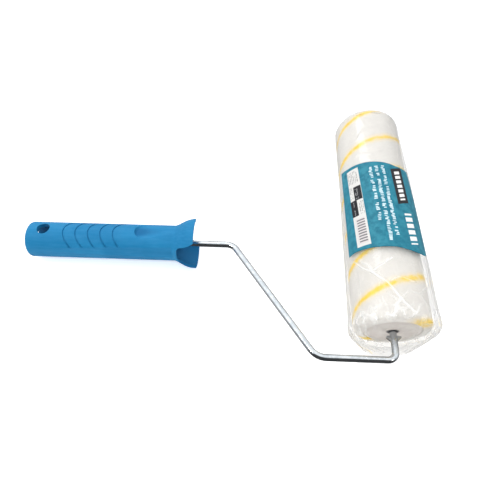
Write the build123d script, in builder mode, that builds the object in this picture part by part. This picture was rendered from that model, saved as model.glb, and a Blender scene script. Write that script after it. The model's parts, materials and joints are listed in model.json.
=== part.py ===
from build123d import *

import math
import os

# A hand paint roller in its film bag. Millimetres, +Z up, lying on z = 0.
# The axle runs along Y with its free end towards +Y, and the grip points towards -X.
# The origin is on the resting surface, under the middle of the whole object.
# A "station" is a distance along the axle from the near end of the nap, towards +Y.
# The wire and the grip lie in one plane, which leans about the axle until the grip's rear
# end touches the surface.

# ---- cover: pile on a core tube, with a cap in each end ----
COVER_LENGTH = 233.0    # the pile stands 1.5 past the 230 core at each end
NAP_R = 32.4
NAP_NEAR_EDGE_R = 5.0
NAP_FAR_EDGE_R = 8.0
CORE_R = 24.0
CORE_WALL = 1.8
CORE_INSET = 1.5

CAP_FLANGE_R = 23.6
CAP_WALL = 1.6
CAP_DEPTH = 16.0
CAP_RIB_COUNT = 6
CAP_RIB = 1.4
HUB_R = 6.5
HUB_DEPTH = 22.0
HUB_MOUTH_R = 4.2
HUB_MOUTH_DEPTH = 1.4
NEAR_WEB = 0.9          # how far the cap's face is set back from the end of the nap
NEAR_HUB_FACE = 0.3
FAR_WEB = 9.6
FAR_HUB_FACE = 9.0

# ---- wire frame ----
WIRE_R = 2.9
RUNNING_GAP = 0.06
ARM_STATION = -23.8     # centre line of the arm, in front of the cover
ARM_REACH = 65.2        # axle to the lower bend
NECK_REACH = 139.3      # axle to the upper bend
BEND_STATION = 80.7     # where the upper bend lies beside the cover
GRIP_SKEW = 0.2         # the shank and the grip run this many degrees off square
ELBOW_BEND = 7.0
LOWER_BEND = 16.0
UPPER_BEND = 12.0
AXLE_END = 228.6
EAR_SPREAD = 6.2
EAR_THICKNESS = 2.6
EAR_FACE = -3.3
END_PLAY = 0.3          # between the far hub and the retaining cap

RETAINER_R = 6.4
RETAINER_WALL = 0.8

# ---- grip ----
GRIP_REAR = 334.3       # axle to the grip's rear end, along the leaning plane
GRIP_LENGTH = 159.9
GRIP_R = 16.8
GRIP_ROLL = 9.0         # the grip is turned about its axis, its top away from the arm
GRIP_REAR_EDGE = 3.0
FLARE_START = 139.8
RIM_R = 24.0
RIM_WALL = 2.0
SOCKET_MOUTH_R = 13.0
SOCKET_MOUTH_DEPTH = 30.0
SOCKET_R = 12.5
SOCKET_DEPTH = 88.0
SOCKET_FLOOR = 4.0
FRONT_CAVITY_R = 11.0
BOSS_R = 6.0
BOSS_FRONT = 140.8
BOSS_RIB = 1.8
WIRE_SEAT = 98.3        # where the wire ends inside the grip
HANG_HOLE_R = 6.0
HANG_HOLE_AT = 16.6
NOTCH_BASE = 143.3      # how far back the two side notches of the bell reach
NOTCH_BASE_HALF = 10.5
NOTCH_RIM_HALF = 18.6
NOTCH_CORNER = 7.0
GROOVE_COUNT = 5
GROOVE_FIRST = 36.1
GROOVE_PITCH = 11.8
GROOVE_WIDTH = 1.2
GROOVE_DEPTH = 0.8
GROOVE_BOW_R = 16.0
GROOVE_BOW_SHIFT = 2.0  # the bows are centred a little to one side of the top
GROOVE_LOWEST = 6.6     # the first groove stops at this height above the grip's axis
GROOVE_LOWEST_RISE = 2.3
THUMB_FROM = 103.6
THUMB_TO = 140.3
THUMB_HALF = 9.2
THUMB_FLOOR = 14.2      # height of the thumb rest above the axis, at its rear end
THUMB_EDGE = 2.5
THUMB_RISE = 4.3        # slope of its floor towards the bell, in degrees
FLAT_FROM = 18.0        # two long flats deepen from here
FLAT_TO = 138.8         # to just behind the bell
FLAT_ANGLE = 75.0       # round from the top of the grip to the middle of each flat
FLAT_FALL = 0.51

# ---- film bag and label ----
FILM = 0.4
BAG_FAR_STATION = 235.0
BAG_FAR_EDGE_R = 11.0
BAG_TIGHT_R = 33.4
BAG_LOOSE_R = 37.3
BAG_MOUTH_STATION = -0.6
NECK_STATION = -18.2
NECK_SHIFT = -8.0
NECK_HALF_WIDTH = 16.5
NECK_HALF_HEIGHT = 8.0
LABEL = 0.2
LABEL_FROM = 63.4
LABEL_TO = 157.4
LABEL_START_ANGLE = 34.6
LABEL_SWEEP = 133.9

# ---- where the axle lies in the part's own frame ----
AXLE_X = 148.4
NEAR_END_Y = -104.2
AXLE_Z = 33.6

lean = math.asin((AXLE_Z - GRIP_R) / (GRIP_REAR - GRIP_REAR_EDGE))
along = Vector(math.cos(lean), 0, math.sin(lean))
across = Vector(-math.sin(lean), 0, math.cos(lean))
sideways = Vector(0, 1, 0)

skew = math.radians(GRIP_SKEW)
roll = math.radians(GRIP_ROLL)
grip_along = along * math.cos(skew) - sideways * math.sin(skew)
grip_side = sideways * math.cos(skew) + along * math.sin(skew)
grip_up = across * math.cos(roll) + grip_side * math.sin(roll)
SHANK = GRIP_REAR - NECK_REACH      # upper bend to the grip's rear end, measured square
rear_station = BEND_STATION + SHANK * math.tan(skew)

axle_origin = Vector(AXLE_X, NEAR_END_Y, AXLE_Z)
AXLE = Axis(axle_origin, (0, 1, 0))
AXLE_SECTION = Plane(origin=axle_origin, x_dir=(1, 0, 0), z_dir=(0, 0, 1))
FRAME = Plane(origin=axle_origin, x_dir=along, z_dir=across)
GRIP = Plane(
    origin=axle_origin - along * GRIP_REAR + sideways * rear_station,
    x_dir=grip_along,
    z_dir=grip_up,
)
GRIP_AXIS = Axis(GRIP.origin, grip_along)


def station_plane(station):
    """A plane square to the axle, with its x along +X and its normal towards +Y."""
    return Plane(origin=axle_origin + Vector(0, station, 0), x_dir=(1, 0, 0), z_dir=(0, 1, 0))


def grip_section(distance):
    """A plane square to the grip, its normal towards the bell."""
    return Plane(origin=GRIP.origin + grip_along * distance, x_dir=GRIP.y_dir, z_dir=grip_along)


def end_cap(station, inward, web, hub_face):
    """A dished cap: flange over the tube's end, spigot inside it, and a ribbed hub."""
    section = Plane(
        origin=axle_origin + Vector(0, station, 0), x_dir=(1, 0, 0), z_dir=(0, 0, inward)
    )
    spigot_r = CORE_R - CORE_WALL
    bore_r = WIRE_R + RUNNING_GAP
    with BuildPart() as cap:
        with BuildSketch(section):
            with BuildLine():
                Polyline(
                    (bore_r, hub_face + HUB_MOUTH_DEPTH),
                    (HUB_MOUTH_R, hub_face + HUB_MOUTH_DEPTH),
                    (HUB_MOUTH_R, hub_face),
                    (HUB_R, hub_face),
                    (HUB_R, web),
                    (spigot_r - CAP_WALL, web),
                    (spigot_r - CAP_WALL / 2, 0.4),
                    (CAP_FLANGE_R, 0.4),
                    (CAP_FLANGE_R, CORE_INSET),
                    (spigot_r, CORE_INSET),
                    (spigot_r, CAP_DEPTH),
                    (spigot_r - CAP_WALL, CAP_DEPTH),
                    (spigot_r - CAP_WALL, web + CAP_WALL),
                    (HUB_R, web + CAP_WALL),
                    (HUB_R, HUB_DEPTH),
                    (bore_r, HUB_DEPTH),
                    close=True,
                )
            make_face()
        revolve(axis=AXLE)
        rib_r = (HUB_R + spigot_r - CAP_WALL) / 2
        rib_length = spigot_r - CAP_WALL - HUB_R + 1.0
        with BuildSketch(station_plane(station + inward * web)):
            with PolarLocations(rib_r, CAP_RIB_COUNT):
                Rectangle(rib_length, CAP_RIB)
        extrude(amount=inward * (CAP_DEPTH - 2.0 - web))
    return cap


near_end_cap = end_cap(0.0, 1, NEAR_WEB, NEAR_HUB_FACE)
far_end_cap = end_cap(COVER_LENGTH, -1, FAR_WEB, FAR_HUB_FACE)

with BuildPart() as core_tube:
    with BuildSketch(AXLE_SECTION):
        with Locations((CORE_R - CORE_WALL / 2, COVER_LENGTH / 2)):
            Rectangle(CORE_WALL, COVER_LENGTH - 2 * CORE_INSET)
    revolve(axis=AXLE)

with BuildPart() as nap_cover:
    with BuildSketch(AXLE_SECTION) as nap_section:
        with Locations(((CORE_R + NAP_R) / 2, COVER_LENGTH / 2)):
            Rectangle(NAP_R - CORE_R, COVER_LENGTH)
        outer_corners = nap_section.vertices().group_by(Axis.X)[-1].sort_by(Axis.Y)
        fillet(outer_corners[0], NAP_NEAR_EDGE_R)
        fillet(nap_section.vertices().group_by(Axis.Y)[-1].sort_by(Axis.X)[-1], NAP_FAR_EDGE_R)
    revolve(axis=AXLE)

# One bent wire: axle, elbow, arm, lower bend, slanting neck, upper bend, shank in the grip.
with BuildPart() as wire_frame:
    with BuildLine(FRAME) as wire_line:
        FilletPolyline(
            (0, AXLE_END),
            (0, ARM_STATION),
            (-ARM_REACH, ARM_STATION),
            (-NECK_REACH, BEND_STATION),
            (WIRE_SEAT - GRIP_REAR, BEND_STATION + (SHANK - WIRE_SEAT) * math.tan(skew)),
            radius=(ELBOW_BEND, LOWER_BEND, UPPER_BEND),
        )
    with BuildSketch(station_plane(AXLE_END)):
        Circle(WIRE_R)
    sweep(path=wire_line.wire())
    # Two ears crimped out of the wire keep the cover off the elbow.
    with BuildSketch(FRAME):
        with BuildLine():
            Polyline(
                (-WIRE_R + 0.4, EAR_FACE),
                (-EAR_SPREAD, EAR_FACE - 0.6),
                (-EAR_SPREAD, EAR_FACE - 1.9),
                (-WIRE_R + 0.4, EAR_FACE - 5.2),
                (WIRE_R - 0.4, EAR_FACE - 5.2),
                (EAR_SPREAD, EAR_FACE - 1.9),
                (EAR_SPREAD, EAR_FACE - 0.6),
                (WIRE_R - 0.4, EAR_FACE),
                close=True,
            )
        make_face()
    extrude(amount=EAR_THICKNESS / 2, both=True)

# A pressed steel cap pushed onto the wire's end, inside the far dish.
with BuildPart() as retaining_cap:
    retainer_back = COVER_LENGTH - FAR_HUB_FACE + END_PLAY
    with BuildSketch(AXLE_SECTION):
        with BuildLine():
            Polyline(
                (WIRE_R, retainer_back),
                (RETAINER_R, retainer_back),
                (RETAINER_R, retainer_back + RETAINER_WALL),
                (WIRE_R + 1.2, retainer_back + RETAINER_WALL),
                (WIRE_R + 1.0, AXLE_END + RETAINER_WALL),
                (0, AXLE_END + RETAINER_WALL),
                (0, AXLE_END),
                (WIRE_R, AXLE_END),
                close=True,
            )
        make_face()
    revolve(axis=AXLE)

# Bowed finger grooves: thin upright walls, bowed towards the rear, that only reach the
# skin of the barrel. They end where the flats begin.
GROOVE_FLOOR = Plane(
    origin=GRIP.origin + grip_along * GROOVE_FIRST + grip_up * GROOVE_LOWEST,
    x_dir=grip_along,
    z_dir=grip_up,
).rotated((0, -GROOVE_LOWEST_RISE, 0))
with BuildPart() as groove_cutter:
    with BuildSketch(GROOVE_FLOOR):
        for index in range(GROOVE_COUNT):
            apex = index * GROOVE_PITCH
            with Locations((apex + GROOVE_BOW_R, -GROOVE_BOW_SHIFT)):
                Circle(GROOVE_BOW_R)
                Circle(GROOVE_BOW_R - GROOVE_WIDTH, mode=Mode.SUBTRACT)
            with Locations((apex + GROOVE_BOW_R * 1.5, 0)):
                Rectangle(GROOVE_BOW_R * 1.1, 3 * GROOVE_BOW_R, mode=Mode.SUBTRACT)
    extrude(amount=GRIP_R)
    with BuildSketch(grip_section(0)):
        Circle(GRIP_R - GROOVE_DEPTH)
    extrude(amount=GRIP_LENGTH, mode=Mode.SUBTRACT)

# Thumb rest: a round-ended flat whose floor rises gently towards the bell.
THUMB_FLOOR_PLANE = Plane(
    origin=GRIP.origin + grip_along * THUMB_FROM + grip_up * THUMB_FLOOR,
    x_dir=grip_along,
    z_dir=grip_up,
).rotated((0, -THUMB_RISE, 0))
with BuildPart() as thumb_cutter:
    with BuildSketch(THUMB_FLOOR_PLANE):
        with Locations(((THUMB_TO - THUMB_FROM) / 2, 0)):
            SlotOverall(THUMB_TO - THUMB_FROM, 2 * THUMB_HALF)
    extrude(amount=GRIP_R)
    fillet(thumb_cutter.faces().sort_by(Axis.Z)[0].edges(), THUMB_EDGE)


def flat_plane(side):
    """The plane of one long flat, which sinks into the barrel towards the bell."""
    turn = math.radians(FLAT_ANGLE)
    fall = math.radians(FLAT_FALL)
    outward = grip_up * math.cos(turn) + GRIP.y_dir * (side * math.sin(turn))
    return Plane(
        origin=GRIP.origin + grip_along * FLAT_FROM + outward * GRIP_R,
        x_dir=grip_along * math.cos(fall) - outward * math.sin(fall),
        z_dir=outward * math.cos(fall) + grip_along * math.sin(fall),
    )


with BuildPart() as flat_cutter:
    with BuildSketch(flat_plane(-1), flat_plane(1)):
        Rectangle(FLAT_TO - FLAT_FROM, GRIP_R, align=(Align.MIN, Align.CENTER))
    extrude(amount=GRIP_R / 2)

with BuildPart() as handle_grip:
    # Outside: a straight barrel that opens into a bell.
    with BuildSketch(GRIP) as barrel:
        with BuildLine():
            Polyline((GRIP_LENGTH, 0), (0, 0), (0, GRIP_R), (FLARE_START, GRIP_R))
            Bezier(
                (FLARE_START, GRIP_R),
                (FLARE_START + 4.5, GRIP_R + 0.5),
                (FLARE_START + 9.5, RIM_R - 0.6),
                (GRIP_LENGTH, RIM_R),
            )
            Line((GRIP_LENGTH, RIM_R), (GRIP_LENGTH, 0))
        make_face()
        fillet(barrel.vertices().sort_by(Axis.X)[:2].sort_by(Axis.Y)[-1], GRIP_REAR_EDGE)
    revolve(axis=GRIP_AXIS)
    # Inside of the bell, and the hollow behind it around the wire boss.
    with BuildSketch(GRIP):
        with BuildLine():
            Polyline(
                (GRIP_LENGTH, RIM_R - RIM_WALL),
                (GRIP_LENGTH, 0),
                (SOCKET_DEPTH + SOCKET_FLOOR, 0),
                (SOCKET_DEPTH + SOCKET_FLOOR, FRONT_CAVITY_R),
                (FLARE_START - 8, FRONT_CAVITY_R),
                (FLARE_START, GRIP_R - RIM_WALL - 0.6),
            )
            Bezier(
                (FLARE_START, GRIP_R - RIM_WALL - 0.6),
                (FLARE_START + 6.0, GRIP_R - RIM_WALL + 1.2),
                (FLARE_START + 10.5, RIM_R - RIM_WALL - 0.8),
                (GRIP_LENGTH, RIM_R - RIM_WALL),
            )
        make_face()
    revolve(axis=GRIP_AXIS, mode=Mode.SUBTRACT)
    # The boss that grips the wire, with four ribs to the barrel.
    with BuildSketch(grip_section(SOCKET_DEPTH + SOCKET_FLOOR - 1)):
        Circle(BOSS_R)
    extrude(amount=BOSS_FRONT - SOCKET_DEPTH - SOCKET_FLOOR + 1)
    with BuildSketch(grip_section(SOCKET_DEPTH + SOCKET_FLOOR - 1)):
        Rectangle(2 * FRONT_CAVITY_R + 1, BOSS_RIB)
        Rectangle(BOSS_RIB, 2 * FRONT_CAVITY_R + 1)
    extrude(amount=FLARE_START - 8 - SOCKET_DEPTH - SOCKET_FLOOR)
    with BuildSketch(grip_section(WIRE_SEAT)):
        Circle(WIRE_R)
    extrude(amount=BOSS_FRONT - WIRE_SEAT + 1, mode=Mode.SUBTRACT)
    # Socket for an extension pole, open at the rear.
    with BuildSketch(grip_section(0)):
        Circle(SOCKET_MOUTH_R)
    extrude(amount=SOCKET_MOUTH_DEPTH, mode=Mode.SUBTRACT)
    with BuildSketch(grip_section(SOCKET_MOUTH_DEPTH)):
        Circle(SOCKET_R)
    extrude(amount=SOCKET_DEPTH - SOCKET_MOUTH_DEPTH, mode=Mode.SUBTRACT)
    # Hang hole through both walls.
    with BuildSketch(GRIP):
        with Locations((HANG_HOLE_AT, 0)):
            Circle(HANG_HOLE_R)
    extrude(amount=GRIP_R + 2, both=True, mode=Mode.SUBTRACT)
    # Two notches split the bell into an upper and a lower petal.
    with BuildSketch(Plane(origin=GRIP.origin, x_dir=grip_along, z_dir=-GRIP.y_dir)) as notch:
        with BuildLine():
            Polyline(
                (NOTCH_BASE, -NOTCH_BASE_HALF),
                (GRIP_LENGTH + 0.5, -NOTCH_RIM_HALF),
                (GRIP_LENGTH + 0.5, NOTCH_RIM_HALF),
                (NOTCH_BASE, NOTCH_BASE_HALF),
                close=True,
            )
        make_face()
        fillet(notch.vertices().group_by(Axis.X)[0], NOTCH_CORNER)
    extrude(amount=RIM_R + 2, both=True, mode=Mode.SUBTRACT)
    add(flat_cutter.part, mode=Mode.SUBTRACT)
    add(groove_cutter.part, mode=Mode.SUBTRACT)
    add(thumb_cutter.part, mode=Mode.SUBTRACT)


def bag_shape(inset):
    """The bag as a closed body: tight at the far end, loose and gathered at the near end."""
    with BuildPart() as bag:
        with BuildSketch(AXLE_SECTION) as body:
            with BuildLine():
                Polyline(
                    (0, BAG_MOUTH_STATION),
                    (0, BAG_FAR_STATION - inset),
                    (BAG_TIGHT_R - inset, BAG_FAR_STATION - inset),
                    (BAG_TIGHT_R - inset, LABEL_TO + 3),
                    (BAG_LOOSE_R - inset, BAG_MOUTH_STATION),
                    close=True,
                )
            make_face()
            far_corner = body.vertices().group_by(Axis.Y)[-1].sort_by(Axis.X)[-1]
            fillet(far_corner, BAG_FAR_EDGE_R - inset)
        revolve(axis=AXLE)
        with BuildSketch(station_plane(BAG_MOUTH_STATION)):
            Circle(BAG_LOOSE_R - inset)
        with BuildSketch(station_plane(NECK_STATION)):
            with Locations((NECK_SHIFT, 0)):
                Ellipse(NECK_HALF_WIDTH - inset, NECK_HALF_HEIGHT - inset)
        loft()
        # The surface it lies on presses the loose film flat.
        split(bisect_by=Plane.XY.offset(inset), keep=Keep.TOP)
    return bag


bag_outside = bag_shape(0.0)
bag_inside = bag_shape(FILM)
with BuildPart() as film_bag:
    add(bag_outside.part)
    add(bag_inside.part, mode=Mode.SUBTRACT)


def bag_radius(station):
    """Outside radius of the bag between the label's far edge and its mouth."""
    share = (LABEL_TO + 3 - station) / (LABEL_TO + 3 - BAG_MOUTH_STATION)
    return BAG_TIGHT_R + share * (BAG_LOOSE_R - BAG_TIGHT_R)


with BuildPart() as printed_label:
    start = math.radians(LABEL_START_ANGLE)
    label_section = Plane(
        origin=axle_origin,
        x_dir=(math.cos(start), 0, math.sin(start)),
        z_dir=(-math.sin(start), 0, math.cos(start)),
    )
    with BuildSketch(label_section):
        with BuildLine():
            Polyline(
                (bag_radius(LABEL_FROM), LABEL_FROM),
                (bag_radius(LABEL_FROM) + LABEL, LABEL_FROM),
                (bag_radius(LABEL_TO) + LABEL, LABEL_TO),
                (bag_radius(LABEL_TO), LABEL_TO),
                close=True,
            )
        make_face()
    revolve(axis=Axis(axle_origin, (0, -1, 0)), revolution_arc=LABEL_SWEEP)

pieces = {
    "handle_grip": handle_grip,
    "wire_frame": wire_frame,
    "retaining_cap": retaining_cap,
    "near_end_cap": near_end_cap,
    "far_end_cap": far_end_cap,
    "core_tube": core_tube,
    "nap_cover": nap_cover,
    "film_bag": film_bag,
    "printed_label": printed_label,
}

os.makedirs("parts", exist_ok=True)
for name, piece in pieces.items():
    piece.part.label = name
    export_step(piece.part, f"parts/{name}.step")

whole = Compound(children=[piece.part for piece in pieces.values()]).bounding_box()
print("lowest corner", whole.min, "highest corner", whole.max)
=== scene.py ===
import json
import math

import bpy
import numpy as np
from mathutils import Matrix, Vector, noise


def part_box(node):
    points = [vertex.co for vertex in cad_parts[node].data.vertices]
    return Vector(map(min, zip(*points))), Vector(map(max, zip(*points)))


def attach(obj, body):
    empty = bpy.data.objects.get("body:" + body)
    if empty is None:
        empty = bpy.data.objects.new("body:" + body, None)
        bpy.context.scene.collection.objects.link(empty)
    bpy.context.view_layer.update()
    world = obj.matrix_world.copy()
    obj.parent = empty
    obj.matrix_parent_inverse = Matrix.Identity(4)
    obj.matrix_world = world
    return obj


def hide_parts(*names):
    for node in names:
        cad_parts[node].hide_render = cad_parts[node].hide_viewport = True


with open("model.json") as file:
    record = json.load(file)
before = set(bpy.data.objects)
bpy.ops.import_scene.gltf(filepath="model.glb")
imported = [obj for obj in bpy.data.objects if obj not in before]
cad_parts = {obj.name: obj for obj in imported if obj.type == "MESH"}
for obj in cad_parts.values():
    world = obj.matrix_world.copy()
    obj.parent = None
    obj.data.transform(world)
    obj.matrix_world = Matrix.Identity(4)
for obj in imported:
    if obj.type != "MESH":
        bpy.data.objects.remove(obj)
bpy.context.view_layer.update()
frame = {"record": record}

# A paint roller in its film bag. Metres in the scene; MM turns the sizes below into metres.
# A "station" is a distance along the axle from the near end of the nap, towards +Y. An
# "angle" goes round the axle, in degrees, from +X towards +Z.
MM = 0.001

# ---- places from the frame ----
nap_low, nap_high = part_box("nap_cover")
label_low, label_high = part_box("printed_label")
bag_low, bag_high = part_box("film_bag")
core_low, core_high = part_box("core_tube")
AXLE = Vector(((nap_low.x + nap_high.x) / 2, nap_low.y, (nap_low.z + nap_high.z) / 2))
COVER_LENGTH = (nap_high.y - nap_low.y) / MM
NAP_R = (nap_high.x - nap_low.x) / 2 / MM
CORE_R = (core_high.x - core_low.x) / 2 / MM
LABEL_FROM = (label_low.y - AXLE.y) / MM
LABEL_TO = (label_high.y - AXLE.y) / MM
BAG_FAR = (bag_high.y - AXLE.y) / MM
NECK_STATION = (bag_low.y - AXLE.y) / MM

# ---- nap ----
NAP_BORE_R = CORE_R + 0.02
NAP_NEAR_EDGE_R = 5.0
NAP_FAR_EDGE_R = 8.0
NAP_STEP = 0.8              # between the mesh's points on its wall
NAP_END_STEP = 0.7          # and on its near end
NAP_RINGS = (11, 15, 24)    # rings round its near edge, its far edge and in its bore
PILE_DEPTH = 0.30           # how far the tufts stand up from the nap's smooth shape
TUFT_SIZE = 1.7
CLUMP_SIZE = 7.0
STRIPE_PITCH = 39.2         # two yellow yarns run round the cover side by side
STRIPE_OFFSET = 50.4        # station of a stripe where the angle is zero
STRIPE_SWAY_X = -1.8        # the winding is a little uneven round the cover
STRIPE_SWAY_Z = 2.5
STRIPE_HALF = 2.3
STRIPE_WANDER = 3.0         # how far a stripe strays from its helix
STRIPE_FRAY = 3.4           # how ragged its edges are

# ---- film bag ----
BAG_TIGHT_R = 33.35
BAG_FAR_EDGE_R = 11.0
BAG_STATIONS = (NECK_STATION, 0.0, 63.0, 157.0, 208.0, BAG_FAR)
BAG_RADII = (37.3, 37.3, 36.3, 34.3, BAG_TIGHT_R, BAG_TIGHT_R)
BAG_SLIDE_ANGLE = 15.0      # the side that the loose film hangs towards
BAG_SLIDE = 1.0             # how far it hangs that way
BAG_SLIDES = (BAG_SLIDE, BAG_SLIDE, BAG_SLIDE, BAG_SLIDE, 0.0, 0.0)
BAG_COLUMNS = 288
BAG_RINGS = (22, 15, 262, 42)  # rings on its far end, its rounded edge, its body and its cone
BAG_FIRST_R = 0.6           # the smallest ring of its far end
RIM_HALF = 6                # the bag turns into its cone over this much either side of the rim
RIM_PASSES = 14             # how often that turn is smoothed
NECK_SHIFT = -8.0           # the gathered mouth is an oval, this far to the side of the axle
NECK_HALF_WIDTH = 16.4
NECK_HALF_HEIGHT = 7.9
FLOOR_GAP = 0.25            # the film stays this far above the floor
DRAWN_ANGLE = 105           # the film of the cone is drawn tight over the wire, round this angle
DRAWN_SPREAD = 38
FILM_GLOSS = 1.5            # how strongly the film mirrors
FILM_GLOSS_MOST = 0.34
FILM_MILK = (0.02, 0.06)    # how milky it is, here and there
CREASE_MILK_AND_HIGHLIGHT = 0.42          # and how much more so along a crease: partly real whitening of the film, partly a painted highlight
DRAWN_CLEAR = 0.2           # share of both that is left where it is drawn tight
WALL_RING = 120             # a ring on the straight wall of the bag's mesh and of the nap's

# ---- label ----
LABEL_LEFT = 168.5          # at its far edge
LABEL_NEAR_LEFT = 163.0     # at its near edge, where the bag is wider
LABEL_RIGHT = 34.6
LABEL_CUT = 8.4             # how much further up its right side starts at the far edge
# how far each edge strays along the axle, as (angle, millimetres)
LABEL_NEAR_EDGE = (
    (34, 0.0), (45, -3.0), (60, -3.8), (75, -3.0), (90, -1.3), (105, -0.7), (120, 0.0), (150, 1.0),
    (163, 0.0),
)
LABEL_FAR_EDGE = (
    (43, -3.5), (60, -3.8), (70, -4.0), (80, -2.3), (90, -1.0), (100, 0.0), (115, 1.3), (130, 2.0),
    (150, 2.6), (168, 4.5),
)
LABEL_ROWS, LABEL_COLUMNS = 96, 120
LABEL_WAVE = 0.10           # how far it rises off the bag in places
LABEL_WAVE_SIZE = 22.0
LABEL_GAP = 0.12
LABEL_THICK = 0.16

# ---- print on the label ----
# A patch is (from, to) across the label and (from, to) along it, as shares of the label.
PRINT_SKEW = 0.035          # the print sits a little askew
PANEL = (0.118, 0.283, 0.045, 0.985)
BAR_PANEL = (0.140, 0.262, 0.070, 0.362)
BARS = (0.160, 0.258, 0.085, 0.350)
BAR_PITCH = 0.030
SMALL_PRINT = (
    (0.126, 0.265, 0.800, 0.955),
    (0.216, 0.275, 0.405, 0.555),
    (0.126, 0.172, 0.610, 0.765),
)
SQUARES = ((0.180, 0.279, 0.580, 0.752), (0.112, 0.202, 0.395, 0.588))
SQUARE_PRINT = ((0.196, 0.240, 0.595, 0.740), (0.148, 0.172, 0.410, 0.570))
TEXT_ROWS = (
    (0.400, 0.445, 0.265, 0.950),
    (0.470, 0.517, 0.050, 0.950),
    (0.543, 0.590, 0.115, 0.945),
)
NAME_BAR = (0.655, 0.805, 0.470, 0.905)
NAME_BLOCKS = (0.690, 0.775, 0.520, 0.880)
NAME_SLANT = 0.33
SIZE_BLOCKS = (0.700, 0.810, 0.030, 0.370)
SIZE_SLANT = 0.25

# ---- grip, wire and caps ----
THUMB_REAR = 44.0           # the thumb rest, forward of the pole socket's middle
THUMB_FRONT = 82.0
THUMB_TOP_R = 16.3          # painted shade darkens it where it is nearer to the grip's axis than this
THUMB_FLOOR_R = 14.6        # and is darkest from here in
AXLE_SHADE_FROM = -22.0           # painted shade darkens the axle's colour from this station on
AXLE_SHADE_OVER = 14.0            # and reaches its darkest over this length
ELBOW_SIDE = 6.0            # the arm starts this far to the side of the axle
HUB_SHADE = 6.0             # painted shade darkens the hubs in the middle, out to this radius
HUB_SHADE_EDGE = 1.5

# ---- light ----
TENT_LIGHT = 0.55           # brightness of the tent at the height of the object
TENT_TOP = 0.80             # how much brighter it is overhead
TENT_SLOPE = 0.14           # how much brighter it is on the left and dimmer on the right
BELOW_LIGHT = 0.50          # share of its brightness left below the object
BACKDROP_LIGHT = 1.0        # what shows of it behind the object
OPEN_LIGHT = 0.06           # brightness of its open side
OPEN_SIDE = (0.0, -0.985, 0.174)
OPEN_EDGE = 0.27            # it starts where the cosine of the angle off its middle is this
OPEN_MIDDLE = 0.58          # and is as dim as it gets from here in
TENT_COLOUR = (0.97, 0.98, 1.0, 1)
FLOOR_HALF = 4.0
FLOOR_GLOW = 0.40
LAMP_AIM = Vector((0, 0, 0.03))
LAMPS = (                   # name, size, place, brightness, and whether mirrors show it
    ("left_key", 0.13, (-0.50, -0.42, 0.80), 31.0, True),
    ("right_key", 0.10, (0.60, -0.50, 0.62), 22.0, True),
    ("back_left", 0.45, (-0.30, 0.55, 0.62), 1.6, True),
    ("front_fill", 1.5, (0.0, -1.15, 1.5), 1.5, False),
)

# ---- camera ----
CAMERA_TARGET = AXLE + Vector((-0.1342, 0.0859, -0.0036))
CAMERA_ELEVATION = 59.33
CAMERA_DISTANCE = 0.4185
CAMERA_ROLL = 3.0
CAMERA_LENS = 33.24         # for a sensor this wide
CAMERA_SENSOR = 36.0


def srgb(red, green, blue):
    """A linear colour from 0 to 255 screen values."""
    def linear(value):
        v = value / 255
        return v / 12.92 if v <= 0.04045 else ((v + 0.055) / 1.055) ** 2.4
    return linear(red), linear(green), linear(blue), 1.0


LABEL_WHITE = srgb(242, 242, 240)
LABEL_BLACK = srgb(38, 38, 42)


def smooth_step(low, high, value):
    """0 up to low, 1 from high on, and a smooth change between them."""
    share = np.clip((value - low) / (high - low), 0.0, 1.0)
    return share * share * (3 - 2 * share)


def around_axle(angle, station, radius):
    """Points in the row frame, in metres, from arrays of angle, station and radius."""
    a = np.radians(angle)
    return np.stack(
        (
            AXLE.x + radius * np.cos(a) * MM,
            AXLE.y + station * MM + 0 * a,
            AXLE.z + radius * np.sin(a) * MM,
        ),
        axis=-1,
    )


def noise_field(points, size, seed=0.0):
    """Smooth noise from -1 to 1 at each point, with features about size millimetres wide."""
    flat = points.reshape(-1, 3) / (size * MM)
    shift = Vector((seed, seed * 1.7, -seed))
    values = [noise.noise(Vector(p) + shift) for p in flat]
    return np.array(values).reshape(points.shape[:-1])


def surface_normals(points, wrap):
    """Unit normals of a grid of points; columns close on themselves where wrap is set."""
    rows = np.gradient(points, axis=0)
    if wrap:
        columns = np.roll(points, -1, axis=1) - np.roll(points, 1, axis=1)
    else:
        columns = np.gradient(points, axis=1)
    normal = np.cross(rows, columns)
    length = np.linalg.norm(normal, axis=-1, keepdims=True)
    return normal / np.maximum(length, 1e-12)


def outward(normal, points):
    """The normals of a closed grid round the axle, turned to point out of its wall."""
    on_wall = points[WALL_RING, 0]
    away = on_wall - np.array((AXLE.x, on_wall[1], AXLE.z))
    return -normal if np.dot(normal[WALL_RING, 0], away) < 0 else normal


def grid_faces(rows, columns, wrap, start=0):
    """Quads of a grid whose points are stored row by row."""
    across = columns if wrap else columns - 1
    i, j = np.meshgrid(np.arange(rows - 1), np.arange(across), indexing="ij")
    k = (j + 1) % columns
    row, after = i * columns, (i + 1) * columns
    return np.stack((row + j, row + k, after + k, after + j), -1).reshape(-1, 4) + start


def new_piece(name, points, faces, material, body, replaced):
    """A smooth mesh piece on a body, in the finish of a slot, in place of a CAD node."""
    mesh = bpy.data.meshes.new(name)
    mesh.from_pydata(points.reshape(-1, 3).tolist(), [], [list(map(int, f)) for f in faces])
    mesh.validate()
    mesh.polygons.foreach_set("use_smooth", [True] * len(mesh.polygons))
    mesh.materials.append(material)
    mesh.update()
    piece = bpy.data.objects.new(name, mesh)
    bpy.context.scene.collection.objects.link(piece)
    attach(piece, body)
    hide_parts(replaced)
    return piece


# ---------------------------------------------------------------- materials


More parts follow.
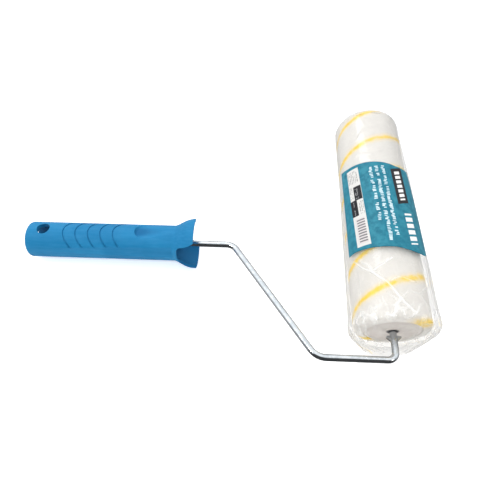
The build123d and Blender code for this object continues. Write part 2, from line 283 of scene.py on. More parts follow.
class Tree:
    """Short calls for building a node tree. An argument is a socket or a plain value."""

    def __init__(self, tree):
        self.tree = tree

    def set(self, socket, value):
        if isinstance(value, bpy.types.NodeSocket):
            self.tree.links.new(value, socket)
        else:
            socket.default_value = value

    def node(self, kind, inputs=None, **settings):
        made = self.tree.nodes.new(kind)
        for key, value in settings.items():
            setattr(made, key, value)
        for key, value in (inputs or {}).items():
            self.set(made.inputs[key], value)
        return made

    def place(self):
        """Where the point on the surface is in the scene, with the part at rest."""
        return self.node("ShaderNodeTexCoord").outputs["Object"]

    def math(self, operation, *values):
        made = self.node("ShaderNodeMath", operation=operation)
        for index, value in enumerate(values):
            self.set(made.inputs[index], value)
        return made.outputs[0]

    def vector(self, operation, first, second, output=0):
        made = self.node("ShaderNodeVectorMath", {0: first, 1: second}, operation=operation)
        return made.outputs[output]

    def scaled(self, place, factors):
        return self.vector("MULTIPLY", place, factors)

    def length(self, vector):
        return self.node("ShaderNodeVectorMath", {0: vector}, operation="LENGTH").outputs["Value"]

    def noise(self, place, size, detail=3.0, roughness=0.55):
        """Noise with features about size millimetres wide."""
        made = self.node(
            "ShaderNodeTexNoise",
            {"Vector": place, "Scale": 1 / (size * MM), "Detail": detail, "Roughness": roughness},
        )
        return made.outputs["Fac"]

    def between(self, value, low, high, to_low=0.0, to_high=1.0, smooth=True):
        """to_low where value is low, to_high where it is high, and a change between them."""
        inputs = {"Value": value, "From Min": low, "From Max": high}
        inputs.update({"To Min": to_low, "To Max": to_high})
        kind = "SMOOTHSTEP" if smooth else "LINEAR"
        return self.node("ShaderNodeMapRange", inputs, interpolation_type=kind).outputs[0]

    def mix(self, share, first, second):
        made = self.node("ShaderNodeMix", data_type="RGBA")
        self.set(made.inputs["Factor"], share)
        self.set(made.inputs[6], first)
        self.set(made.inputs[7], second)
        return made.outputs[2]

    def bump(self, height, depth, strength=1.0, under=None):
        """A bump normal from a height of 0 to 1 that stands for depth millimetres."""
        inputs = {"Height": height, "Distance": depth * MM, "Strength": strength}
        made = self.node("ShaderNodeBump", inputs)
        if under is not None:
            self.set(made.inputs["Normal"], under)
        return made.outputs[0]


class Finish(Tree):
    """The tree of a new material, with the shader that it starts with."""

    def __init__(self, name):
        self.material = bpy.data.materials.new(name)
        self.material.use_nodes = True
        super().__init__(self.material.node_tree)
        self.shader = self.tree.nodes["Principled BSDF"]
        self.output = self.tree.nodes["Material Output"]

    def principled(self, **values):
        """Sets sockets of the shader; an underscore in a name stands for a space."""
        for key, value in values.items():
            self.set(self.shader.inputs[key.replace("_", " ")], value)


def stripe_distance(t, place):
    """Millimetres from the middle of the nearest yellow yarn, ragged at the yarn's edges."""
    split = t.node("ShaderNodeSeparateXYZ", {0: place})
    x = t.math("SUBTRACT", split.outputs[0], AXLE.x)
    z = t.math("SUBTRACT", split.outputs[2], AXLE.z)
    station = t.math("MULTIPLY", t.math("SUBTRACT", split.outputs[1], AXLE.y), 1 / MM)
    turn = t.math("DIVIDE", t.math("ARCTAN2", z, x), 2 * math.pi)
    helix = t.math("ADD", station, t.math("MULTIPLY", turn, 2 * STRIPE_PITCH))
    stray = t.math("SUBTRACT", t.noise(place, 16.0, 2.0), 0.5)
    along = t.math("ADD", helix, t.math("MULTIPLY", stray, STRIPE_WANDER))
    sway_x = t.math("MULTIPLY", x, STRIPE_SWAY_X / (NAP_R * MM))
    sway_z = t.math("MULTIPLY", z, STRIPE_SWAY_Z / (NAP_R * MM))
    sway = t.math("ADD", sway_x, sway_z)
    along = t.math("SUBTRACT", t.math("SUBTRACT", along, STRIPE_OFFSET), sway)
    turns = t.math("ADD", t.math("DIVIDE", along, STRIPE_PITCH), 0.5)
    phase = t.math("SUBTRACT", t.math("FRACT", turns), 0.5)
    away = t.math("MULTIPLY", t.math("ABSOLUTE", phase), STRIPE_PITCH)
    ragged = t.math("SUBTRACT", t.noise(place, 1.6, 3.0, 0.7), 0.5)
    return t.math("ADD", away, t.math("MULTIPLY", ragged, STRIPE_FRAY))


def nap_material():
    """Off-white acrylic pile with two yellow yarns wound in among the white."""
    t = Finish("nap_pile")
    place = t.place()
    away = stripe_distance(t, place)
    core = t.between(away, STRIPE_HALF * 1.7, STRIPE_HALF * 0.2)
    halo = t.between(away, STRIPE_HALF * 3.2, STRIPE_HALF * 0.6)
    patchy = t.between(t.noise(place, 11.0, 3.0, 0.6), 0.36, 0.56, 0.5, 1.0)
    halo_share = t.math("MULTIPLY", t.math("MULTIPLY", halo, patchy), 0.45)
    core_share = t.math("MULTIPLY", t.math("MULTIPLY", core, patchy), 0.96)
    white = t.mix(t.noise(place, 7.0, 4.0), srgb(235, 232, 225), srgb(229, 224, 217))
    white = t.mix(t.between(t.noise(place, 0.9, 3.0, 0.6), 0.35, 0.7), white, srgb(234, 231, 226))
    yellow = t.mix(t.noise(place, 2.5, 3.0), srgb(255, 206, 0), srgb(255, 226, 40))
    tinted = t.mix(halo_share, white, srgb(255, 226, 158))
    colour = t.mix(core_share, tinted, yellow)
    tufts = t.noise(place, 1.1, 4.0, 0.65)
    clumps = t.noise(place, 4.5, 3.0, 0.5)
    normal = t.bump(tufts, 0.35, 0.8, t.bump(clumps, 0.8, 0.5))
    t.principled(Base_Color=colour, Roughness=0.95, Normal=normal, Specular_IOR_Level=0.15)
    t.principled(Sheen_Weight=0.25, Sheen_Roughness=0.5)
    return t.material


def film_material():
    """Thin clear film: see-through, glossy where it turns away, and milky along its creases, which
    is partly real whitening and partly a painted highlight.
    """
    t = Finish("clear_film")
    place = t.place()
    t.tree.nodes.remove(t.shader)
    creep = t.noise(place, 5.0, 4.0, 0.6)
    normal = t.bump(creep, 0.12, 0.7)
    fresnel = t.node("ShaderNodeFresnel", {"IOR": 1.5, "Normal": normal}).outputs[0]
    gloss_share = t.math("MINIMUM", t.math("MULTIPLY", fresnel, FILM_GLOSS), FILM_GLOSS_MOST)
    crease = t.node("ShaderNodeAttribute", attribute_name="crease").outputs["Fac"]
    milk = t.between(t.noise(place, 14.0, 3.0), 0.3, 0.7, *FILM_MILK)
    # along the creases the milk is partly real whitening and partly a painted highlight
    haze_share = t.math("ADD", milk, t.between(crease, 0.12, 0.9, 0.0, CREASE_MILK_AND_HIGHLIGHT))
    drawn = t.node("ShaderNodeAttribute", attribute_name="drawn").outputs["Fac"]
    left = t.between(drawn, 0.0, 1.0, 1.0, DRAWN_CLEAR)
    haze_share = t.math("MULTIPLY", haze_share, left)
    gloss_share = t.math("MULTIPLY", gloss_share, left)

    def shader(kind, inputs):
        return t.node(kind, inputs).outputs[0]

    clear = shader("ShaderNodeBsdfTransparent", {"Color": (0.985, 0.985, 0.982, 1)})
    shine = {"Color": (0.96, 0.96, 0.96, 1), "Roughness": 0.06, "Normal": normal}
    gloss = shader("ShaderNodeBsdfGlossy", shine)
    haze = shader("ShaderNodeBsdfDiffuse", {"Color": (0.97, 0.97, 0.95, 1), "Normal": normal})
    milky = shader("ShaderNodeMixShader", {0: haze_share, 1: clear, 2: haze})
    surface = shader("ShaderNodeMixShader", {0: gloss_share, 1: milky, 2: gloss})
    t.set(t.output.inputs["Surface"], surface)
    return t.material


class Print:
    """Patches and marks on the label. Places across and along it go from 0 to 1."""

    def __init__(self, t):
        self.t = t
        uv = t.node("ShaderNodeUVMap", uv_map="label").outputs[0]
        split = t.node("ShaderNodeSeparateXYZ", {0: uv})
        self.along = split.outputs[1]
        askew = t.math("MULTIPLY", t.math("SUBTRACT", 1.0, self.along), PRINT_SKEW)
        self.across = t.math("SUBTRACT", split.outputs[0], askew)

    def slanted(self, start, slant):
        """The place along the label, for print that leans as it goes across from start."""
        t = self.t
        lean = t.math("MULTIPLY", t.math("SUBTRACT", self.across, start), slant)
        return t.math("SUBTRACT", self.along, lean)

    def inside(self, value, low, high):
        """1 where value is between low and high, and 0 elsewhere."""
        above = self.t.math("GREATER_THAN", value, low)
        return self.t.math("MULTIPLY", above, self.t.math("LESS_THAN", value, high))

    def patch(self, a0, a1, b0, b1, slant=0.0):
        """1 on a patch of the label, from a0 to a1 across and b0 to b1 along it."""
        across = self.inside(self.across, a0, a1)
        return self.t.math("MULTIPLY", across, self.inside(self.slanted(a0, slant), b0, b1))

    def marks(self, first, row_pitch, row_share, pitch, seed, gaps=0.15, slant=0.0, uneven=1.0):
        """Rows of plain blocks with gaps among them, uneven in length and height or all alike.

        The rows start at first and repeat every row_pitch, of which row_share is print; along
        a row the blocks repeat every pitch. All of these are shares of the label.
        """
        t = self.t
        row = t.math("DIVIDE", t.math("SUBTRACT", self.across, first), row_pitch)
        column = t.math("DIVIDE", self.slanted(first, slant), pitch)
        cell = {0: t.math("FLOOR", row), 1: t.math("FLOOR", column), 2: seed}
        cell = t.node("ShaderNodeCombineXYZ", cell).outputs[0]
        chance = t.node("ShaderNodeTexWhiteNoise", {"Vector": cell}, noise_dimensions="3D")
        chance = t.node("ShaderNodeSeparateColor", {0: chance.outputs["Color"]}).outputs
        spread = 0.26 * uneven
        length = t.between(chance[0], 0.0, 1.0, 0.66 - spread, 0.66 + spread, False)
        low = t.between(chance[2], 0.4, 1.0, 0.0, row_share * 0.45 * uneven, False)
        high = t.between(chance[2], 0.0, 0.5, row_share * (1 - 0.4 * uneven), row_share, False)
        mark = t.math("LESS_THAN", t.math("FRACT", column), length)
        mark = t.math("MULTIPLY", mark, t.math("GREATER_THAN", chance[1], gaps))
        in_row = t.math("FRACT", row)
        mark = t.math("MULTIPLY", mark, t.math("GREATER_THAN", in_row, low))
        return t.math("MULTIPLY", mark, t.math("LESS_THAN", in_row, high))

    def printed(self, pattern, colour, ink, places, slant=0.0):
        """Colour with the pattern's marks in ink, on the patches at the given places."""
        patches = [self.patch(*place, slant) for place in places]
        where = patches[0]
        for patch in patches[1:]:
            where = self.t.math("MAXIMUM", where, patch)
        return self.t.mix(self.t.math("MULTIPLY", pattern, where), colour, ink)


def panel_print(p, colour):
    """The label's white panel, with its small print, its bars and two black squares."""
    t = p.t
    colour = t.mix(p.patch(*PANEL), colour, srgb(218, 217, 213))
    colour = t.mix(p.patch(*BAR_PANEL), colour, srgb(214, 209, 207))
    fine = p.marks(0.126, 0.0235, 0.62, 0.0155, seed=7.0)
    colour = p.printed(fine, colour, srgb(150, 148, 147), SMALL_PRINT)
    bars = t.math("LESS_THAN", t.math("FRACT", t.math("DIVIDE", p.along, BAR_PITCH)), 0.50)
    colour = p.printed(bars, colour, srgb(122, 118, 122), (BARS,))
    for square in SQUARES:
        colour = t.mix(p.patch(*square), colour, LABEL_BLACK)
    return p.printed(fine, colour, srgb(150, 152, 152), SQUARE_PRINT)


def teal_print(p, colour):
    """Rows of small marks, plain blocks on a black bar, and the largest blocks beside it."""
    text = p.marks(0.4025, 0.0715, 0.57, 0.0190, seed=51.0)
    colour = p.printed(text, colour, srgb(204, 226, 232), TEXT_ROWS)
    colour = p.t.mix(p.patch(*NAME_BAR, NAME_SLANT), colour, LABEL_BLACK)
    alike = {"gaps": 0.0, "uneven": 0.0}
    name = p.marks(0.694, 0.110, 0.66, 0.0560, seed=84.0, slant=NAME_SLANT, **alike)
    colour = p.printed(name, colour, LABEL_WHITE, (NAME_BLOCKS,), NAME_SLANT)
    size = p.marks(0.704, 0.150, 0.68, 0.0700, seed=92.0, slant=SIZE_SLANT, **alike)
    return p.printed(size, colour, LABEL_WHITE, (SIZE_BLOCKS,), SIZE_SLANT)


def label_material():
    """Teal printed label with a white panel and plain marks where print would be."""
    t = Finish("label_print")
    place = t.place()
    water = t.noise(place, 6.0, 5.0, 0.62)
    teal = t.mix(t.between(water, 0.35, 0.66), srgb(20, 108, 130), srgb(50, 138, 158))
    teal = t.mix(t.between(t.noise(place, 26.0, 2.0), 0.3, 0.7, 0.0, 0.5), teal, srgb(34, 126, 148))
    p = Print(t)
    colour = teal_print(p, panel_print(p, teal))
    normal = t.bump(t.noise(place, 3.0, 3.0), 0.05, 0.5)
    t.principled(Base_Color=colour, Roughness=0.45, Normal=normal, Specular_IOR_Level=0.25)
    return t.material


def grip_painted_shade(t, place):
    """Share of painted shade: on the thumb rest's floor and on whatever faces inwards."""
    socket = frame["record"]["mounts"][0]
    middle, rearward = Vector(socket["pos_m"]), Vector(socket["axis"])
    arm = t.vector("SUBTRACT", place, middle)
    forward = t.vector("DOT_PRODUCT", arm, -rearward, "Value")
    shift = t.node("ShaderNodeVectorMath", {0: rearward, "Scale": forward}, operation="SCALE")
    radial = t.vector("ADD", arm, shift.outputs[0])
    normal = t.node("ShaderNodeNewGeometry").outputs["Normal"]
    facing = t.vector("DOT_PRODUCT", normal, radial, "Value")
    inward = t.between(facing, -1 * MM, -5 * MM)
    behind = t.between(forward, THUMB_REAR * MM, (THUMB_REAR + 1) * MM)
    before = t.between(forward, (THUMB_FRONT + 1) * MM, THUMB_FRONT * MM)
    low = t.between(t.length(radial), THUMB_TOP_R * MM, THUMB_FLOOR_R * MM)
    rest = t.math("MULTIPLY", low, t.math("MULTIPLY", behind, before))
    return t.math("MULTIPLY", t.math("MAXIMUM", inward, rest), 0.9)


def grip_material():
    """Blue injection-moulded polypropylene: fine moulded grain, slightly uneven sheen."""
    t = Finish("blue_plastic")
    place = t.place()
    drift = t.noise(place, 30.0, 3.0)
    colour = t.mix(t.between(drift, 0.3, 0.7), srgb(22, 118, 168), srgb(32, 128, 178))
    streaks = t.noise(t.scaled(place, (0.12, 1.0, 1.0)), 2.2, 3.0)
    colour = t.mix(t.between(streaks, 0.35, 0.75, 0.0, 0.18), colour, srgb(66, 152, 202))
    # painted shade: the thumb rest and the faces that turn inwards are darkened in colour
    colour = t.mix(grip_painted_shade(t, place), colour, srgb(8, 98, 148))
    roughness = t.between(t.noise(place, 8.0, 3.0), 0.3, 0.7, 0.50, 0.64)
    grain = t.noise(place, 0.55, 2.0, 0.5)
    normal = t.bump(grain, 0.045, 0.7, t.bump(drift, 0.5, 0.25))
    t.principled(Base_Color=colour, Roughness=roughness, Normal=normal, Specular_IOR_Level=0.20)
    return t.material


def zinc_material():
    """Bright zinc-plated wire with faint drawing marks, duller patches and painted shade on the
    axle near the hub.
    """
    t = Finish("zinc_wire")
    place = t.place()
    patches = t.noise(place, 6.0, 4.0, 0.6)
    colour = t.mix(t.between(patches, 0.3, 0.7), srgb(196, 202, 206), srgb(222, 226, 228))
    split = t.node("ShaderNodeSeparateXYZ", {0: place})
    axle_shade_from = AXLE.y + AXLE_SHADE_FROM * MM
    axle_shade = t.between(split.outputs[1], axle_shade_from, axle_shade_from + AXLE_SHADE_OVER * MM, 0.0, 0.6)
    on_axle = t.math("GREATER_THAN", split.outputs[0], AXLE.x - ELBOW_SIDE * MM)
    # painted shade: the axle near the hub is darkened in colour
    colour = t.mix(t.math("MULTIPLY", axle_shade, on_axle), colour, srgb(126, 130, 136))
    roughness = t.between(t.noise(place, 2.0, 3.0), 0.3, 0.7, 0.14, 0.24)
    normal = t.bump(t.noise(place, 0.6, 3.0), 0.012, 0.6)
    t.principled(Base_Color=colour, Metallic=1.0, Roughness=roughness, Normal=normal)
    return t.material


def steel_material():
    """Pressed spring steel, a little darker than the wire."""
    t = Finish("spring_steel")
    place = t.place()
    colour = t.mix(t.noise(place, 3.0, 3.0), srgb(150, 154, 158), srgb(190, 194, 198))
    roughness = t.between(t.noise(place, 1.5, 3.0), 0.3, 0.7, 0.25, 0.40)
    t.principled(Base_Color=colour, Metallic=1.0, Roughness=roughness)
    t.principled(Normal=t.bump(t.noise(place, 0.5, 2.0), 0.02, 0.5))
    return t.material


def cap_material():
    """Light grey moulded cap, dusty, faintly mottled, with painted shade in its hub's mouth."""
    t = Finish("cap_plastic")
    place = t.place()
    mottle = t.between(t.noise(place, 9.0, 4.0), 0.3, 0.7)
    dust = t.between(t.noise(place, 1.8, 3.0), 0.5, 0.8, 0.0, 0.35)
    colour = t.mix(mottle, srgb(216, 208, 202), srgb(232, 226, 219))
    colour = t.mix(dust, colour, srgb(204, 196, 191))
    reach = t.length(t.scaled(t.vector("SUBTRACT", place, AXLE), (1, 0, 1)))
    shade = t.between(reach, HUB_SHADE * MM, (HUB_SHADE - HUB_SHADE_EDGE) * MM)
    # painted shade in the hub's mouth
    colour = t.mix(shade, colour, srgb(112, 110, 110))
    roughness = t.between(t.noise(place, 5.0, 3.0), 0.3, 0.7, 0.42, 0.60)
    normal = t.bump(t.noise(place, 0.8, 3.0), 0.05, 0.6)
    t.principled(Base_Color=colour, Roughness=roughness, Normal=normal)
    return t.material


def core_material():
    """Off-white plastic core tube with extrusion lines along it."""
    t = Finish("core_plastic")
    place = t.place()
    lines = t.noise(t.scaled(place, (1.0, 0.03, 1.0)), 1.2, 3.0)
    colour = t.mix(t.noise(place, 12.0, 3.0), srgb(228, 224, 216), srgb(240, 237, 230))
    colour = t.mix(t.between(lines, 0.45, 0.75, 0.0, 0.3), colour, srgb(206, 200, 190))
    t.principled(Base_Color=colour, Roughness=0.6, Normal=t.bump(lines, 0.08, 0.6))
    return t.material


def finish_node(name, material):
    """Gives a carried-over CAD node its material."""
    node = bpy.data.objects[name]
    if not node.material_slots:
        node.data.materials.append(material)
    for entry in node.material_slots:
        entry.link = "OBJECT"
        entry.material = material


# ---------------------------------------------------------------- nap


def nap_profile():
    """(radius, station, how much pile) round the nap's section, from the bore's near end."""
    near_rings, far_rings, bore_rings = NAP_RINGS
    rows = [(NAP_BORE_R, 0.0, 0.0)]
    for radius in np.arange(NAP_BORE_R + NAP_END_STEP, NAP_R - NAP_NEAR_EDGE_R, NAP_END_STEP):
        rows.append((radius, 0.0, 1.0))
    for turn in np.linspace(0, 90, near_rings):
        a = math.radians(turn)
        rows.append((
            NAP_R - NAP_NEAR_EDGE_R * (1 - math.sin(a)),
            NAP_NEAR_EDGE_R * (1 - math.cos(a)),
            1.0,
        ))
    far_start = COVER_LENGTH - NAP_FAR_EDGE_R
    for station in np.arange(NAP_NEAR_EDGE_R + NAP_STEP, far_start, NAP_STEP):
        rows.append((NAP_R, station, 1.0))
    for turn in np.linspace(0, 90, far_rings):
        a = math.radians(turn)
        rows.append((
            NAP_R - NAP_FAR_EDGE_R * (1 - math.cos(a)),
            far_start + NAP_FAR_EDGE_R * math.sin(a),
            1.0,
        ))
    rows.append((NAP_BORE_R, COVER_LENGTH, 0.0))
    for station in np.linspace(COVER_LENGTH, 0.0, bore_rings)[1:-1]:
        rows.append((NAP_BORE_R, station, 0.0))
    return np.array(rows)


def make_nap():
    """The pile as a closed sleeve, tufted all over its outside and its two ends."""
    profile = nap_profile()
    columns = int(2 * math.pi * NAP_R / NAP_STEP)
    angle = np.arange(columns) * 360 / columns
    radius = np.repeat(profile[:, :1], columns, axis=1)
    station = np.repeat(profile[:, 1:2], columns, axis=1)
    points = around_axle(np.broadcast_to(angle, radius.shape), station, radius)
    closed = np.concatenate((points[-1:], points, points[:1]))
    normal = outward(surface_normals(closed, True)[1:-1], points)
    tufts = noise_field(points, TUFT_SIZE, 3.0)
    clumps = noise_field(points, CLUMP_SIZE, 8.0)
    height = PILE_DEPTH * (0.65 * tufts + 0.55 * clumps) * profile[:, 2:3]
    points = points + normal * (height * MM)[..., None]
    rows = len(profile)
    faces = np.concatenate((grid_faces(rows, columns, True), last_to_first(rows, columns)))
    faces = faces[:, ::-1]
    return new_piece("nap_pile", points, faces, nap_material(), "cover", "nap_cover")


def last_to_first(rows, columns):
    """Quads that join a ring of rows back to its first row."""
    j = np.arange(columns)
    k = (j + 1) % columns
    last = (rows - 1) * columns
    return np.stack((last + j, last + k, k, j), -1)


# ---------------------------------------------------------------- film


def film_radius(angle, station):
    """Radius of the smooth bag: tight at the far end, looser towards its gathered mouth."""
    radius = np.interp(station, BAG_STATIONS, BAG_RADII)
    slide = np.interp(station, BAG_STATIONS, BAG_SLIDES)
    return radius + slide * np.cos(np.radians(angle - BAG_SLIDE_ANGLE))


# Creases stand up along lines of (angle, station); each has a height and a half width, in mm.
CREASES = (
    (1.1, 1.9, ((158, 60), (141, 48), (127, 41), (109, 30), (96, 15), (82, 4))),
    (0.8, 2.0, ((127, 41), (112, 46), (98, 52))),
    (0.7, 1.8, ((109, 30), (92, 34), (74, 30))),
    (0.6, 1.3, ((118, 36), (120, 22), (112, 6))),
    (0.5, 1.1, ((150, 54), (146, 34), (150, 14))),
    (0.6, 1.4, ((62, 58), (54, 38), (48, 16), (40, 2))),
    (0.5, 1.2, ((70, 22), (62, 12), (60, 2))),
    (0.8, 1.8, ((96, 15), (104, 6), (106, 0))),
    (0.7, 1.5, ((146, 58), (130, 46), (116, 32), (108, 18), (88, 8))),
    (0.6, 1.4, ((96, 15), (84, 22), (72, 20), (56, 28))),
    (0.7, 1.8, ((28, 66), (20, 40), (24, 14), (18, 0))),
    (0.6, 1.6, ((8, 120), (14, 84), (8, 44), (12, 6))),
    (0.5, 1.5, ((172, 60), (178, 36), (170, 10))),
    (0.4, 1.3, ((150, 162), (128, 172), (104, 168), (70, 176))),
    (0.4, 1.3, ((60, 162), (52, 190), (66, 212))),
    (0.4, 1.2, ((120, 228), (110, 206), (128, 190))),
    (0.5, 1.6, ((-30, 20), (-50, 60), (-40, 110), (-60, 170))),
    (0.5, 1.6, ((-120, 10), (-135, 70), (-118, 130), (-140, 200))),
)


def crease_height(angle, station):
    """How far the creases lift the film at each point, in millimetres."""
    lift = np.zeros_like(angle)
    for height, half, line in CREASES:
        best = np.full_like(angle, 1e9)
        ends = zip(line[:-1], line[1:])
        for (a0, s0), (a1, s1) in ends:
            middle = (a0 + a1) / 2
            around = ((angle - middle + 180) % 360 - 180) + middle
            x = (around - a0) * math.radians(1) * NAP_R
            y = station - s0
            dx = (a1 - a0) * math.radians(1) * NAP_R
            dy = s1 - s0
            share = np.clip((x * dx + y * dy) / (dx * dx + dy * dy), 0, 1)
            best = np.minimum(best, np.hypot(x - share * dx, y - share * dy))
        lift = np.maximum(lift, height * np.clip(1 - best / half, 0, 1) ** 1.4)
    return lift


def drawn_tight(angle, to_neck):
    """Share, from 0 to 1, to which the film of the cone is drawn tight over the wire."""
    return smooth_step(0.0, 0.15, to_neck) * np.exp(-((angle - DRAWN_ANGLE) / DRAWN_SPREAD) ** 2)


def film_rows():
    """(station, radius share, share of the way from the body to the neck) for each ring."""
    end_rings, edge_rings, body_rings, cone_rings = BAG_RINGS
    rows = []
    flat_r = BAG_TIGHT_R - BAG_FAR_EDGE_R
    for radius in np.linspace(BAG_FIRST_R, flat_r, end_rings):
        rows.append((BAG_FAR, radius / BAG_TIGHT_R, 0.0))
    for turn in np.linspace(0, 90, edge_rings)[1:]:
        a = math.radians(turn)
        rows.append((
            BAG_FAR - BAG_FAR_EDGE_R * (1 - math.cos(a)),
            (flat_r + BAG_FAR_EDGE_R * math.sin(a)) / BAG_TIGHT_R,
            0.0,
        ))
    for station in np.linspace(BAG_FAR - BAG_FAR_EDGE_R, 0.0, body_rings)[1:]:
        rows.append((station, 1.0, 0.0))
    for share in np.linspace(0, 1, cone_rings)[1:]:
        rows.append((NECK_STATION * share, 1.0, share))
    return np.array(rows)


def smooth_bag(angle, station, rows):
    """Points of the bag without its creases: its body, blended into its mouth along the cone."""
    body = around_axle(angle, station, film_radius(angle, station) * rows[:, 1:2])
    a = np.radians(angle)
    neck = np.stack(
        (
            AXLE.x + (NECK_SHIFT + NECK_HALF_WIDTH * np.cos(a)) * MM,
            AXLE.y + station * MM,
            AXLE.z + NECK_HALF_HEIGHT * np.sin(a) * MM,
        ),
        axis=-1,
    )
    to_neck = rows[:, 2:3, None]
    points = body * (1 - to_neck) + neck * to_neck
    rim = np.abs(station[:, 0]) < RIM_HALF
    for _ in range(RIM_PASSES):
        softer = points.copy()
        softer[1:-1] = (points[:-2] + 2 * points[1:-1] + points[2:]) / 4
        points[rim] = softer[rim]
    return points


def make_film():
    """The bag: a closed far end, a body that grows looser, and a pleated cone to its mouth."""
    rows = film_rows()
    angle = np.broadcast_to(np.arange(BAG_COLUMNS) * 360 / BAG_COLUMNS, (len(rows), BAG_COLUMNS))
    station = np.repeat(rows[:, :1], BAG_COLUMNS, axis=1)
    to_neck = rows[:, 2:3]
    points = smooth_bag(angle, station, rows)
    normal = outward(surface_normals(points, True), points)
    lift = film_relief(angle, station, points, to_neck)
    points = points + normal * (lift * MM)[..., None]
    points[..., 1] = np.maximum(points[..., 1], AXLE.y + NECK_STATION * MM)
    points[..., 2] = np.maximum(points[..., 2], FLOOR_GAP * MM)
    centre = points[0].mean(axis=0)
    points = np.concatenate((points.reshape(-1, 3), centre[None, :]))
    last = len(points) - 1
    faces = list(grid_faces(len(rows), BAG_COLUMNS, True))
    faces += [[last, (c + 1) % BAG_COLUMNS, c] for c in range(BAG_COLUMNS)]
    piece = new_piece("film_sleeve", points, faces, film_material(), "wrapper", "film_bag")
    # whitening along the creases, partly real and partly a painted highlight, for the film's
    # material
    crease_milk_and_highlight = np.clip(lift * (1 - 0.8 * to_neck), 0, 1)
    for name, share in (("crease", crease_milk_and_highlight), ("drawn", drawn_tight(angle, to_neck))):
        layer = piece.data.attributes.new(name, "FLOAT", "POINT")
        layer.data.foreach_set("value", np.append(share.reshape(-1), 0.0))
    return piece


def off_label(angle, station):
    """0 under the label, where the film lies smooth, and 1 away from it."""
    left = smooth_step(LABEL_RIGHT - 10, LABEL_RIGHT - 3, angle)
    right = 1 - smooth_step(LABEL_LEFT + 3, LABEL_LEFT + 10, angle)
    near = smooth_step(LABEL_FROM - 9, LABEL_FROM - 4, station)
    far = 1 - smooth_step(LABEL_TO + 5, LABEL_TO + 10, station)
    return 1 - left * right * near * far


def cone_pleats(angle, points, to_neck):
    """Lift of the pleats that run down the cone to the gathered mouth."""
    wave = noise_field(points, 14.0, 9.0) * 1.4
    pleat = 1 - np.abs(np.sin(np.radians(angle) * 8.5 + wave * 2.0 + 0.4))
    finer = 1 - np.abs(np.sin(np.radians(angle) * 17 + wave * 3.0))
    on_cone = smooth_step(0.02, 0.35, to_neck) * (1 - smooth_step(0.86, 1.0, to_neck))
    slack = 1 - 0.8 * drawn_tight(angle, to_neck)
    return on_cone * slack * (0.8 * pleat ** 2 + 0.25 * finer ** 2)


def film_relief(angle, station, points, to_neck):
    """Creases, crumples, pleats and the end seam, as a lift in mm off the smooth bag."""
    free = off_label(angle, station)
    stretched = points * np.array((1.0, 0.35, 1.0))
    ripple = noise_field(stretched, 9.0, 2.0)
    crumple = 1 - np.abs(noise_field(points, 9.0, 5.0)) * 2.4
    fine = 1 - np.abs(noise_field(points, 4.5, 6.0)) * 2.4
    crumples = 0.75 * np.clip(crumple, 0, 1) ** 1.5 + 0.16 * np.clip(fine, 0, 1) ** 1.5
    near_rim = np.exp(-((station - 3) / 9.0) ** 2)
    at_far_end = smooth_step(BAG_FAR - 6, BAG_FAR, station)
    seam = np.exp(-((points[..., 2] - AXLE.z) / (0.9 * MM)) ** 2)
    lift = free * (0.22 * ripple + crease_height(angle, station))
    lift += free * near_rim * crumples
    lift += cone_pleats(angle, points, to_neck)
    lift += at_far_end * (1.0 * seam + 0.35 * np.clip(crumple, 0, 1))
    return lift


# ---------------------------------------------------------------- label


def label_grid(rows, columns):
    """Angles and stations over the label, which lies a little askew with uneven edges."""
    far = np.linspace(0, 1, rows)[:, None]
    across = np.linspace(0, 1, columns)[None, :]
    left = LABEL_NEAR_LEFT + (LABEL_LEFT - LABEL_NEAR_LEFT) * far
    right = LABEL_RIGHT + LABEL_CUT * far ** 3
    angle = left + (right - left) * across
    near_edge = LABEL_FROM + np.interp(angle, *zip(*LABEL_NEAR_EDGE))
    far_edge = LABEL_TO + np.interp(angle, *zip(*LABEL_FAR_EDGE))
    return angle, near_edge + (far_edge - near_edge) * far


def grid_border(rows, columns):
    """The points round the edge of a grid, in order."""
    ring = list(range(columns))
    ring += [r * columns + columns - 1 for r in range(1, rows)]
    ring += [(rows - 1) * columns + c for c in range(columns - 2, -1, -1)]
    ring += [r * columns for r in range(rows - 2, 0, -1)]
    return np.array(ring)


def place_print(piece, angle, station):
    """The label's UV map: 0 to 1 across it, and 0 to 1 along it, on both of its faces."""
    along = (station - LABEL_FROM) / (LABEL_TO - LABEL_FROM)
    left = LABEL_NEAR_LEFT + (LABEL_LEFT - LABEL_NEAR_LEFT) * along
    across = ((left - angle) / (left - LABEL_RIGHT)).reshape(-1)
    along = along.reshape(-1)
    layer = piece.data.uv_layers.new(name="label")
    for loop in piece.data.loops:
        index = loop.vertex_index % len(along)
        layer.data[loop.index].uv = (across[index], along[index])


def make_label():
    """The printed label, a thin sheet that lies on the bag and follows its shape."""
    rows, columns = LABEL_ROWS, LABEL_COLUMNS
    angle, station = label_grid(rows, columns)
    base = film_radius(angle, station) + LABEL_GAP
    wave = noise_field(around_axle(angle, station, base), LABEL_WAVE_SIZE, 4.0)
    base = base + LABEL_WAVE * wave
    top = around_axle(angle, station, base + LABEL_THICK)
    under = around_axle(angle, station, base)
    count = rows * columns
    edge = grid_border(rows, columns)
    after = np.roll(edge, -1)
    faces = np.concatenate((
        grid_faces(rows, columns, False)[:, ::-1],
        grid_faces(rows, columns, False, count),
        np.stack((edge, after, after + count, edge + count), -1),
    ))
    points = np.concatenate((top.reshape(-1, 3), under.reshape(-1, 3)))
    finish = label_material()
    piece = new_piece("label_sheet", points, faces, finish, "wrapper", "printed_label")
    place_print(piece, angle, station)
    return piece


# ---------------------------------------------------------------- stage


def soft_light(name, size, place, radiance, mirrored):
    """A square softbox at place, turned towards the object, with the given brightness."""
    data = bpy.data.lights.new(name, "AREA")
    data.shape = "SQUARE"
    data.size = size
    data.energy = radiance * math.pi * size * size
    light = bpy.data.objects.new(name, data)
    light.location = place
    aim = LAMP_AIM - Vector(place)
    light.rotation_euler = aim.to_track_quat("-Z", "Y").to_euler()
    light.visible_glossy = mirrored
    bpy.context.scene.collection.objects.link(light)


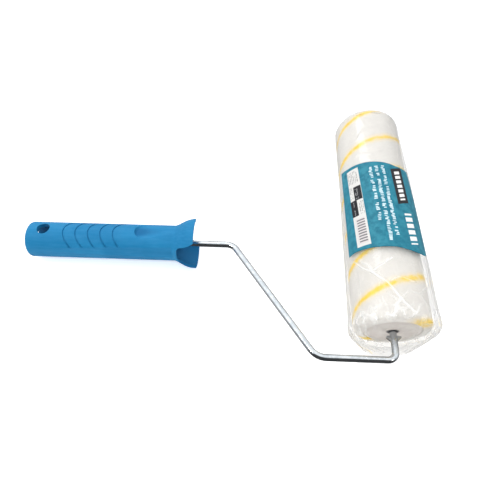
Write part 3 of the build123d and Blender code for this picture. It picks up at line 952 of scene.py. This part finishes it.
def make_stage():
    """The pale floor, the tent and the lights."""
    corners = [(x * FLOOR_HALF, y * FLOOR_HALF, 0) for x, y in ((-1, -1), (1, -1), (1, 1), (-1, 1))]
    mesh = bpy.data.meshes.new("floor")
    mesh.from_pydata(corners, [], [(0, 1, 2, 3)])
    floor = bpy.data.objects.new("floor", mesh)
    bpy.context.scene.collection.objects.link(floor)
    t = Finish("pale_floor")
    t.principled(Base_Color=(0.95, 0.95, 0.95, 1), Roughness=0.9, Specular_IOR_Level=0.1)
    t.principled(Emission_Color=(1.0, 1.0, 1.0, 1), Emission_Strength=FLOOR_GLOW)
    mesh.materials.append(t.material)
    floor.visible_glossy = False
    make_world()
    for lamp in LAMPS:
        soft_light(*lamp)
    bpy.context.scene.view_settings.view_transform = "Standard"


def make_world():
    """A light tent round the object, open and dim in front of it and darker below it."""
    world = bpy.data.worlds.new("studio")
    bpy.context.scene.world = world
    world.use_nodes = True
    t = Tree(world.node_tree)
    direction = t.node("ShaderNodeTexCoord").outputs["Generated"]
    split = t.node("ShaderNodeSeparateXYZ", {0: direction})
    overhead = t.between(split.outputs["Z"], 0.1, 0.6, TENT_LIGHT, TENT_LIGHT + TENT_TOP)
    below = t.between(split.outputs["Z"], -0.7, -0.1, BELOW_LIGHT, 1.0)
    sides = t.between(split.outputs["X"], -1.0, 1.0, 1.0 + TENT_SLOPE, 1.0 - TENT_SLOPE)
    tent = t.math("MULTIPLY", t.math("MULTIPLY", overhead, below), sides)
    toward = t.vector("DOT_PRODUCT", direction, OPEN_SIDE, "Value")
    strength = t.between(toward, OPEN_EDGE, OPEN_MIDDLE, tent, OPEN_LIGHT)
    seen = t.node("ShaderNodeLightPath").outputs["Is Camera Ray"]
    strength = t.between(seen, 0.0, 1.0, strength, BACKDROP_LIGHT)
    background = world.node_tree.nodes["Background"]
    t.set(background.inputs["Strength"], strength)
    t.set(background.inputs["Color"], TENT_COLOUR)


def make_camera():
    """The camera, which looks towards +Y and down, with its picture turned a little."""
    data = bpy.data.cameras.new("camera")
    data.lens = CAMERA_LENS
    data.sensor_width = CAMERA_SENSOR
    camera = bpy.data.objects.new("camera", data)
    elevation = math.radians(CAMERA_ELEVATION)
    tilt = Matrix.Rotation(math.pi / 2 - elevation, 4, "X")
    roll = Matrix.Rotation(math.radians(CAMERA_ROLL), 4, "Z")
    back = Vector((0, -math.cos(elevation), math.sin(elevation)))
    camera.location = CAMERA_TARGET + back * CAMERA_DISTANCE
    camera.rotation_euler = (tilt @ roll).to_euler()
    bpy.context.scene.collection.objects.link(camera)
    bpy.context.scene.camera = camera


make_camera()
make_stage()
make_nap()
make_film()
make_label()
finish_node("handle_grip", grip_material())
finish_node("wire_frame", zinc_material())
finish_node("retaining_cap", steel_material())
end_cap_finish = cap_material()
finish_node("near_end_cap", end_cap_finish)
finish_node("far_end_cap", end_cap_finish)
finish_node("core_tube", core_material())
